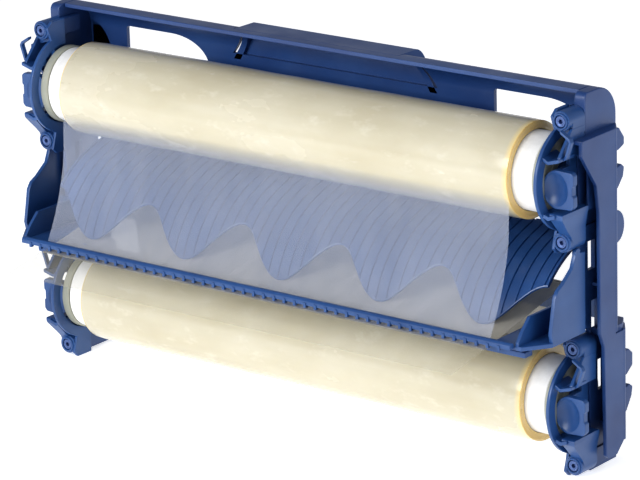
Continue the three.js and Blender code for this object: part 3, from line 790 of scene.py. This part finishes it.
# ---- back panel, rail and handle ----
def back_panel():
    """Curved top rail that runs down into the back plate, with two windows beside the handle."""
    centre = (UPPER_BACK - RAIL_ROUND, FRAME_TOP - RAIL_ROUND)
    outline = [(RAIL_FRONT, FRAME_TOP), (RAIL_FRONT, FRAME_TOP - SHELL)]
    outline += arc(centre, RAIL_ROUND - SHELL, 90, 0, 24)
    outline += [(UPPER_BACK - SHELL, PANEL_BOTTOM), (UPPER_BACK, PANEL_BOTTOM)]
    outline += arc(centre, RAIL_ROUND, 0, 90, 24)
    panel = prism(outline, "x", -PANEL_HALF, PANEL_HALF, 0.45)
    windows = []
    for start in WINDOW_STARTS:
        shape = [(start, WINDOW_BOTTOM)]
        shape += [(start + WINDOW_WIDTH, WINDOW_BOTTOM)]
        shape += arc((start + WINDOW_WIDTH - WINDOW_ROUND, WINDOW_SHOULDER),
                     (WINDOW_ROUND, WINDOW_TOP - WINDOW_SHOULDER), 0, 90, 16)
        shape += arc((start + 2, WINDOW_TOP - 2), 2, 90, 180, 6)
        windows.append(prism(shape, "y", UPPER_BACK - 8, UPPER_BACK + 5, 0))
    grip = prism(handle_outline(0.3, FRAME_TOP - 19.3), "y", RAIL_FRONT + 5.7, LOWER_BACK, 0)
    niche = prism(niche_outline(0), "y", UPPER_BACK - 8, UPPER_BACK + 4.6, 0)
    niche_shell = prism(niche_outline(1.6), "y", UPPER_BACK - SHELL, UPPER_BACK + 6, 0.4)
    return cut(joined(panel, niche_shell), *windows, grip, niche)


def niche_outline(wall):
    """A recess at the left end of the back plate, arched on its right like the windows."""
    left, bottom = -PANEL_HALF + 1.8 - wall, -12 - wall
    reach = (16 + wall, WINDOW_TOP - 6 + wall)
    return [(left, bottom), (-159 + wall, bottom)] + arc((-175, 6), reach, 0, 90, 16) + [
        (left, WINDOW_TOP + wall)]


def handle_outline(grow, bottom):
    return [
        (-HANDLE_BASE - grow, bottom), (HANDLE_BASE + grow, bottom),
        (HANDLE_TOP + grow, FRAME_TOP + 3), (-HANDLE_TOP - grow, FRAME_TOP + 3),
    ]


def handle_shell():
    """Hollow grip that keeps the rail's height to the back, with rounded ends."""
    bottom = FRAME_TOP - 22.5
    front, back = RAIL_FRONT + 6, UPPER_BACK + 2
    inner_back = UPPER_BACK + 0.25
    outer = prism(
        [(front, bottom), (back, bottom), (back, FRAME_TOP - 4)]
        + arc((back - 3.5, FRAME_TOP - 3.7), 3.5, 0, 88, 8)[1:]
        + [(front, FRAME_TOP)],
        "x", -HANDLE_BASE, HANDLE_BASE, 0,
    )
    ends = prism(handle_outline(0, bottom), "y", 0, LOWER_BACK, 0)
    outer = combined(outer, [ends], "INTERSECT")
    inner = prism(
        [(0, bottom - 5), (inner_back, bottom - 5), (inner_back, FRAME_TOP - 5),
         (inner_back - SHELL, FRAME_TOP - 3.2), (0, FRAME_TOP - SHELL)],
        "x", -HANDLE_BASE, HANDLE_BASE, 0,
    )
    hollow = prism(handle_outline(-SHELL, bottom - 5), "y", 0, LOWER_BACK, 0)
    inner = combined(inner, [hollow], "INTERSECT")
    under_rail = prism(
        [(0, 0), (UPPER_BACK - SHELL, 0)]
        + arc((UPPER_BACK - RAIL_ROUND, FRAME_TOP - RAIL_ROUND), RAIL_ROUND - SHELL, 0, 90, 24)
        + [(0, FRAME_TOP - SHELL)],
        "x", -HANDLE_BASE - 5, HANDLE_BASE + 5, 0,
    )
    shell = cut(outer, inner, under_rail)
    soft = shell.modifiers.new("soft_edges", "BEVEL")
    soft.width = 1.2
    soft.segments = 4
    soft.limit_method = "ANGLE"
    soft.angle_limit = math.radians(35)
    return applied(shell)


# ---- ribbed chute ----
def chute_point(angle, depth=0.0):
    """A point on the curved chute at an angle below level, pushed in from its face."""
    start = math.radians(CHUTE_FROM)
    here = math.radians(angle)
    y = FOLD_Y - CHUTE_RADIUS * (math.sin(here) - math.sin(start))
    z = FOLD_Z + CHUTE_RADIUS * (math.cos(here) - math.cos(start))
    return y + depth * math.sin(here), z - depth * math.cos(here)


def wave_edge(x):
    return WAVE_MIDDLE - WAVE_HEIGHT * math.cos(2 * math.pi * x / WAVE_PITCH)


def angle_at(z):
    start = math.radians(CHUTE_FROM)
    return math.degrees(math.acos((z - FOLD_Z) / CHUTE_RADIUS + math.cos(start)))


def feed_chute():
    """Curved plate with fine grooves and a bead along its wavy front edge."""
    columns = []
    count = int(2 * CHUTE_HALF / GROOVE_PITCH)
    first = -count * GROOVE_PITCH / 2
    for k in range(count + 1):
        middle = first + k * GROOVE_PITCH
        columns += [
            (middle - GROOVE_MOUTH, 0), (middle - GROOVE_FLOOR, GROOVE_DEPTH),
            (middle + GROOVE_FLOOR, GROOVE_DEPTH), (middle + GROOVE_MOUTH, 0),
            (middle + GROOVE_PITCH / 2, 0),
        ]
    columns = [(-CHUTE_HALF, 0)] + [c for c in columns if abs(c[0]) < CHUTE_HALF] + [
        (CHUTE_HALF, 0)]
    rows, back_depth, flat_back = 40, 2.0, UPPER_BACK - SHELL - 0.4
    bm = bmesh.new()
    faces, backs = [], []
    for x, depth in columns:
        end = angle_at(wave_edge(x))
        front_line, back_line = [], []
        for k in range(rows + 1):
            angle = CHUTE_FROM + (end - CHUTE_FROM) * k / rows
            groove = depth if 0 < k < rows else depth * 0.4
            front_line.append(bm.verts.new((x, *chute_point(angle, groove))))
            back_line.append(bm.verts.new((x, *chute_point(angle, back_depth))))
        for y, rise in ((FOLD_Y + 0.9, 0.55), (flat_back, 4.4)):
            front_line.insert(0, bm.verts.new((x, y, FOLD_Z + rise - depth)))
            back_line.insert(0, bm.verts.new((x, y, FOLD_Z + rise - back_depth)))
        faces.append(front_line)
        backs.append(back_line)
    for k in range(len(columns) - 1):
        for lines, flip in ((faces, False), (backs, True)):
            for a, b, c, d in zip(lines[k], lines[k][1:], lines[k + 1][1:], lines[k + 1]):
                bm.faces.new((a, d, c, b) if flip else (a, b, c, d))
        for i in (0, -1):
            bm.faces.new((faces[k][i], faces[k + 1][i], backs[k + 1][i], backs[k][i]))
    for i in (0, -1):
        for a, b, c, d in zip(faces[i], faces[i][1:], backs[i][1:], backs[i]):
            bm.faces.new((a, b, c, d))
    bmesh.ops.recalc_face_normals(bm, faces=bm.faces)
    return joined(linked(bm), wave_rim())


def wave_rim():
    """Rounded bead along the wavy front edge."""
    bead_radius, steps, sides = 0.9, 300, 8
    bm = bmesh.new()
    rings = []
    for k in range(steps + 1):
        x = CHUTE_HALF * (2 * k / steps - 1)
        y, z = chute_point(angle_at(wave_edge(x)), bead_radius)
        turns = [2 * math.pi * side / sides for side in range(sides)]
        rings.append([
            bm.verts.new((x, y + bead_radius * math.cos(t), z + bead_radius * math.sin(t)))
            for t in turns
        ])
    for first, second in zip(rings, rings[1:]):
        for side in range(sides):
            after = (side + 1) % sides
            bm.faces.new((first[side], first[after], second[after], second[side]))
    bm.faces.new(rings[0])
    bm.faces.new(reversed(rings[-1]))
    bmesh.ops.recalc_face_normals(bm, faces=bm.faces)
    return linked(bm)


# ---- exit bar, film support, cheeks and rear guide ----
def exit_bar():
    bar = prism(
        [(BAR_FRONT, BAR_BOTTOM), (BAR_FRONT, BAR_TOP - 1.2), (BAR_FRONT + 1.2, BAR_TOP),
         (BAR_BACK - 1.2, BAR_TOP), (BAR_BACK, BAR_TOP - 1.2), (BAR_BACK, BAR_BOTTOM)],
        "x", -BAR_HALF, BAR_HALF, 0.3,
    )
    teeth = []
    for k in range(TOOTH_COUNT):
        x = (k - (TOOTH_COUNT - 1) / 2) * TOOTH_PITCH
        teeth.append(block(x - TOOTH_HALF, x + TOOTH_HALF, BAR_FRONT - 0.5, BAR_FRONT + 1.6,
                           BAR_BOTTOM - 1.3, BAR_BOTTOM + 1.6, 0.25))
    return joined(bar, *teeth)


def film_support():
    """Cross bar under the film with a rounded hump below each tongue of the chute."""
    low, high = cad_box("film_support")
    beam_top = low.z + BEAM_HEIGHT
    beam = block(low.x, high.x, low.y, high.y, low.z, beam_top, 0.6)
    middle = (low.y + high.y) / 2
    humps = []
    for i in range(-2, 3):
        tongue = i * WAVE_PITCH
        rise = [
            (tongue + HUMP_HALF * t, beam_top + HUMP_RISE * (0.5 + 0.5 * math.cos(math.pi * t)))
            for t in (k / 16 - 1 for k in range(33))
        ]
        foot = [(tongue + HUMP_HALF, beam_top - 1), (tongue - HUMP_HALF, beam_top - 1)]
        humps.append(prism(rise + foot, "y", middle - 1.2, middle + 1.2, 0.2))
    return joined(beam, *humps)


def cheek():
    """Channel at the end of the exit bar, open to the front and top."""
    back, floor_z, lip_z = PARTING_Y, -83.5, -67.9
    outer = [(back, -39.6)]
    outer += [(-2.4, -39.0)]
    outer += arc((-4.4, -38.9), 2.6, 20, 200, 10)
    outer += [(-9.5, -46), (-17.8, -52), (-22.6, -54.4), (-25.2, -58), (-27, -67), (-29, -76.5),
              (-28, -81), (-25.5, floor_z), (back, floor_z)]
    parts = [prism(outer, "x", CHEEK_OUTER - SHELL, CHEEK_OUTER, 0.5, 2, 35)]
    parts.append(prism(
        [(FILM_HALF + 1.5, -42), (CHEEK_INNER + 3.5, -42), (CHEEK_OUTER, -28),
         (CHEEK_OUTER, back), (FILM_HALF + 1.5, back)],
        "z", floor_z, floor_z + SHELL, 0.4,
    ))
    parts.append(block(CHEEK_INNER, CHEEK_OUTER, back - SHELL, back, floor_z, lip_z, 0.4))
    inner = prism(
        [(back, lip_z), (-31, lip_z), (-38.5, -75), (-42, -79.5), (-42, floor_z),
         (back, floor_z)],
        "x", CHEEK_INNER, CHEEK_INNER + 2, 0.4,
    )
    return joined(inner, *parts)


def rear_guide():
    return prism(
        [(25.4, -84), (25.4, -71.6)] + arc((28.1, -72.9), 2.7, 165, 15, 12) + [(30.8, -84)],
        "x", -PANEL_HALF, PANEL_HALF, 0.3,
    )


# ---- film sheets ----
def smooth_path(points, steps=6):
    """A Catmull-Rom curve through (y, z) points."""
    padded = [points[0], *points, points[-1]]
    path = []
    for p0, p1, p2, p3 in zip(padded, padded[1:], padded[2:], padded[3:]):
        for k in range(steps):
            t = k / steps
            path.append(tuple(
                0.5 * (2 * b + (c - a) * t + (2 * a - 5 * b + 4 * c - d) * t * t
                       + (3 * b - a - 3 * c + d) * t ** 3)
                for a, b, c, d in zip(p0, p1, p2, p3)
            ))
    path.append(points[-1])
    return path


def film_sheet(points, ripple):
    """A thin closed sheet as wide as the film along a path, rippled where it hangs free."""
    path = smooth_path(points)
    bm = bmesh.new()
    rows = []
    for i, (y, z) in enumerate(path):
        before, after = path[max(i - 1, 0)], path[min(i + 1, len(path) - 1)]
        run = Vector((after[0] - before[0], after[1] - before[1])).normalized()
        free = math.sin(math.pi * i / (len(path) - 1))
        row = []
        for k in range(FILM_COLUMNS + 1):
            x = FILM_HALF * (2 * k / FILM_COLUMNS - 1)
            lift = ripple * free * noise.noise(Vector((x / 45, i / 14, 1.5)))
            row.append(bm.verts.new((x, y - run.y * lift, z + run.x * lift)))
        rows.append(row)
    for first, second in zip(rows, rows[1:]):
        for a, b, c, d in zip(first, first[1:], second[1:], second):
            bm.faces.new((a, b, c, d))
    sheet = linked(bm)
    thick = sheet.modifiers.new("thickness", "SOLIDIFY")
    thick.thickness = FILM_THICKNESS
    thick.offset = 0
    return applied(sheet), path


def film_web(points, name, node, material, ripple):
    sheet, path = film_sheet(points, ripple)
    finished(sheet, name, material, [node], crease=60)


def webs():
    radius = FILM_RADIUS + 0.5
    wrap = [(-radius * math.cos(math.radians(a)), -radius * math.sin(math.radians(a)))
            for a in (12, 20, 28)]
    upper = wrap + [(-23.9, -20), (-24.9, -35), (-28.8, -51), (-33.2, -63), (-37.6, -72.5),
                    (-41.4, -79.6), (-42.6, -83.3), (-44, -83.9), (-47.2, -83.9)]
    film_web(upper, "upper_web_film", "upper_web", UPPER_WEB, 0.3)
    lower = [(35.95, -124), (35.8, -112), (34.6, -96), (32.5, -78), (31.7, -72.4), (30, -69.6),
             (27.4, -69.1), (24, -70.2), (-29.5, -81.2), (-36, -82.9), (-41.5, -84.6),
             (-47.2, -84.8)]
    film_web(lower, "lower_web_film", "lower_web", LOWER_WEB, 0.9)
    tail = [(-47.6, -84.3), (-56, -85.9), (-66, -87.9), (TAIL_FRONT, -89.7)]
    film_web(tail, "film_tail_film", "film_tail", TAIL_FILM, 0.6)


# ---- everything in its place ----
supply_roll("upper", Vector())
supply_roll("lower", LOWER_AXIS)
caps("upper", Vector())
caps("lower", LOWER_AXIS)
right_frame = side_frame()
finished(mirrored(right_frame), "left_side_frame_shell", SHADED_BLUE,
         ["left_side_frame"])
finished(right_frame, "right_side_frame_shell", SHADED_BLUE, ["right_side_frame"])
finished(back_panel(), "back_panel_shell", SHADED_BLUE, ["back_panel"])
finished(handle_shell(), "handle_grip", SHADED_BLUE, ["handle_shell"])
finished(feed_chute(), "feed_chute_shell", BLUE, ["feed_chute"])
finished(exit_bar(), "exit_bar_shell", BLUE, ["exit_bar"])
finished(film_support(), "film_support_shell", BLUE, ["film_support"])
right_cheek = cheek()
finished(mirrored(right_cheek), "left_cheek_shell", BLUE, ["left_cheek"])
finished(right_cheek, "right_cheek_shell", BLUE, ["right_cheek"])
finished(rear_guide(), "rear_film_guide_shell", BLUE, ["rear_film_guide"])
webs()


# ---- studio ----
def floor():
    bm = bmesh.new()
    bmesh.ops.create_grid(bm, x_segments=2, y_segments=2, size=6)
    piece = linked(bm)
    piece.name = "floor"
    piece.data.materials.append(floor_material())


def direction(azimuth, elevation):
    """From the cartridge towards an azimuth, 0 being the front, and an elevation."""
    a, e = math.radians(azimuth), math.radians(elevation)
    return Vector((math.sin(a) * math.cos(e), -math.cos(a) * math.cos(e), math.sin(e)))


def area_light(name, azimuth, elevation, distance, size, power):
    """A soft box that looks at the middle of the cartridge."""
    data = bpy.data.lights.new(name, "AREA")
    data.shape = "RECTANGLE"
    data.size, data.size_y = size
    data.energy = power
    light = bpy.data.objects.new(name, data)
    scene.collection.objects.link(light)
    back = direction(azimuth, elevation)
    light.location = AIM + back * distance
    light.rotation_mode = "QUATERNION"
    light.rotation_quaternion = back.to_track_quat("Z", "Y")


def camera():
    data = bpy.data.cameras.new("camera")
    data.sensor_width = SENSOR_WIDTH
    data.lens = CAMERA_LENS
    data.clip_end = 50
    eye = bpy.data.objects.new("camera", data)
    scene.collection.objects.link(eye)
    back = direction(CAMERA_AZIMUTH, CAMERA_ELEVATION)
    eye.location = AIM + back * CAMERA_DISTANCE
    eye.rotation_mode = "QUATERNION"
    roll = Quaternion((0, 0, 1), math.radians(CAMERA_ROLL))
    eye.rotation_quaternion = back.to_track_quat("Z", "Y") @ roll
    scene.camera = eye


def world():
    """Pale surroundings, brightest at the horizon and greyer overhead."""
    surroundings = bpy.data.worlds.new("studio")
    surroundings.use_nodes = True
    nodes, links = surroundings.node_tree.nodes, surroundings.node_tree.links
    place = nodes.new("ShaderNodeTexCoord")
    split = nodes.new("ShaderNodeSeparateXYZ")
    ramp = nodes.new("ShaderNodeValToRGB")
    ramp.color_ramp.elements[0].color = (1.0, 1.0, 1.0, 1)
    ramp.color_ramp.elements[1].color = (0.3, 0.32, 0.38, 1)
    ramp.color_ramp.elements[1].position = 0.9
    links.new(place.outputs["Generated"], split.inputs[0])
    links.new(split.outputs["Z"], ramp.inputs["Fac"])
    links.new(ramp.outputs["Color"], nodes["Background"].inputs["Color"])
    nodes["Background"].inputs["Strength"].default_value = WORLD_STRENGTH
    scene.world = surroundings


floor()
camera()
world()
area_light("key", -8, 24, 1.6, (1.0, 0.6), 17)
area_light("side_fill", 100, 35, 1.8, (0.8, 0.8), 7)
scene.view_settings.view_transform = "Standard"
scene.view_settings.look = "Medium High Contrast"
